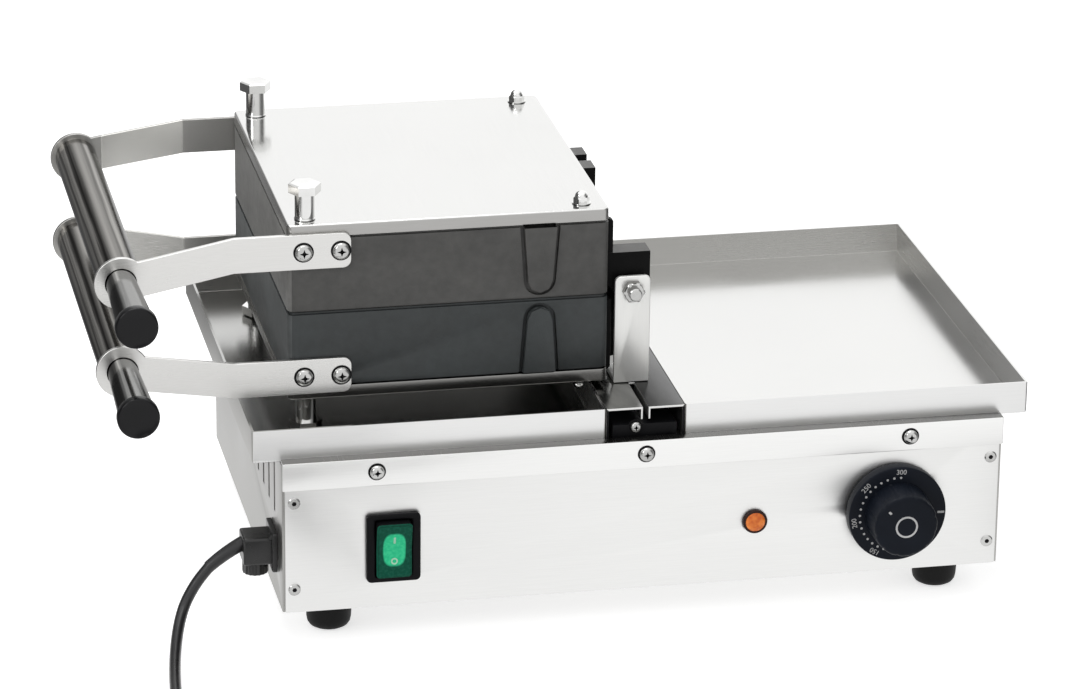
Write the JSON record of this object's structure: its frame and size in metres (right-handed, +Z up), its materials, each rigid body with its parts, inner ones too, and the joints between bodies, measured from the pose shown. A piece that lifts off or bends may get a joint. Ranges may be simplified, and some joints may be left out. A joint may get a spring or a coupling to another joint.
{
  "type": "double waffle maker",
  "caption": "Countertop waffle maker: hinged cast waffle plates with bar handles, turned over between drip trays on a steel base with switch, pilot lamp, thermostat dial and mains lead.",
  "frame": {"origin": "on the counter under the middle of the machine's footprint, the cord left out", "axes": "+Z up; +X to the right, along the front panel; +Y to the back"},
  "size_m": [0.5686, 0.5329, 0.2751],
  "materials": {
    "brushed_steel": "brushed stainless sheet",
    "polished_steel": "polished stainless",
    "dark_steel": "blackened steel",
    "cast_iron": "fine cast, dark, oiled",
    "rubber": "moulded rubber",
    "black_plastic": "satin moulded",
    "green_lens": "clear green lens",
    "amber_lens": "amber lens",
    "phenolic": "moulded phenolic",
    "cable_rubber": "extruded cable sheath"
  },
  "bodies": {
    "base": {"base_housing": "brushed_steel", "front_panel": "brushed_steel", "front_trim": "brushed_steel", "bottom_plate": "brushed_steel", "tray_left": "brushed_steel", "tray_right": "brushed_steel", "hinge_bridge": "polished_steel", "hinge_bar": "dark_steel", "foot_front_left": "rubber", "foot_front_right": "rubber", "foot_rear_left": "rubber", "foot_rear_right": "rubber", "hinge_bracket_front": "polished_steel", "pivot_bolt_front": "polished_steel", "hinge_bracket_rear": "polished_steel", "pivot_bolt_rear": "polished_steel", "switch_housing": "black_plastic", "pilot_lamp": "amber_lens", "thermostat_body": "phenolic", "terminal_block": "phenolic", "cord_gland": "black_plastic", "strain_relief": "cable_rubber", "cord": "cable_rubber", "cord_coil": "cable_rubber", "cord_tie": "black_plastic", "plug": "cable_rubber"},
    "knob": {"thermostat_knob": "black_plastic"},
    "rocker": {"switch_rocker": "green_lens"},
    "lower_plate": {"lower_casting": "cast_iron", "lower_cover": "brushed_steel", "lower_element": "dark_steel", "lower_stand_front": "polished_steel", "lower_stand_rear": "polished_steel", "lower_nut_front": "polished_steel", "lower_nut_rear": "polished_steel", "lower_strip_front": "brushed_steel", "lower_strip_rear": "brushed_steel", "lower_screw_front_1": "polished_steel", "lower_screw_front_2": "polished_steel", "lower_screw_rear_1": "polished_steel", "lower_screw_rear_2": "polished_steel", "lower_rod": "polished_steel", "lower_end_cap": "black_plastic"},
    "lid": {"upper_casting": "cast_iron", "upper_cover": "brushed_steel", "upper_element": "dark_steel", "upper_stand_front": "polished_steel", "upper_stand_rear": "polished_steel", "upper_nut_front": "polished_steel", "upper_nut_rear": "polished_steel", "upper_strip_front": "brushed_steel", "upper_strip_rear": "brushed_steel", "upper_screw_front_1": "polished_steel", "upper_screw_front_2": "polished_steel", "upper_screw_rear_1": "polished_steel", "upper_screw_rear_2": "polished_steel", "upper_rod": "polished_steel", "upper_end_cap": "black_plastic"},
    "lower_handle_grip": {"lower_grip": "polished_steel"},
    "upper_handle_grip": {"upper_grip": "polished_steel"}
  },
  "joints": [
    {"name": "iron_turn", "type": "hinge", "parent": "base", "child": "lower_plate", "pos_m": [0.0443, 0.02455, 0.1966], "axis": [0, -1, 0], "range_deg": [-180, 0]},
    {"name": "lid_open", "type": "hinge", "parent": "lower_plate", "child": "lid", "pos_m": [0.0443, 0.02455, 0.1966], "axis": [0, 1, 0], "range_deg": [0, 180]},
    {"name": "thermostat_turn", "type": "hinge", "parent": "base", "child": "knob", "pos_m": [0.1998, -0.13065, 0.0622], "axis": [0, 1, 0], "range_deg": [0, 280]},
    {"name": "switch_rock", "type": "hinge", "parent": "base", "child": "rocker", "pos_m": [-0.1117, -0.12695, 0.06], "axis": [1, 0, 0], "range_deg": [-9, 0]},
    {"name": "lower_grip_spin", "type": "hinge", "parent": "lower_plate", "child": "lower_handle_grip", "pos_m": [-0.2683, 0.02455, 0.1686], "axis": [0, 1, 0], "continuous": true},
    {"name": "upper_grip_spin", "type": "hinge", "parent": "lid", "child": "upper_handle_grip", "pos_m": [-0.2683, 0.02455, 0.2246], "axis": [0, 1, 0], "continuous": true}
  ]
}
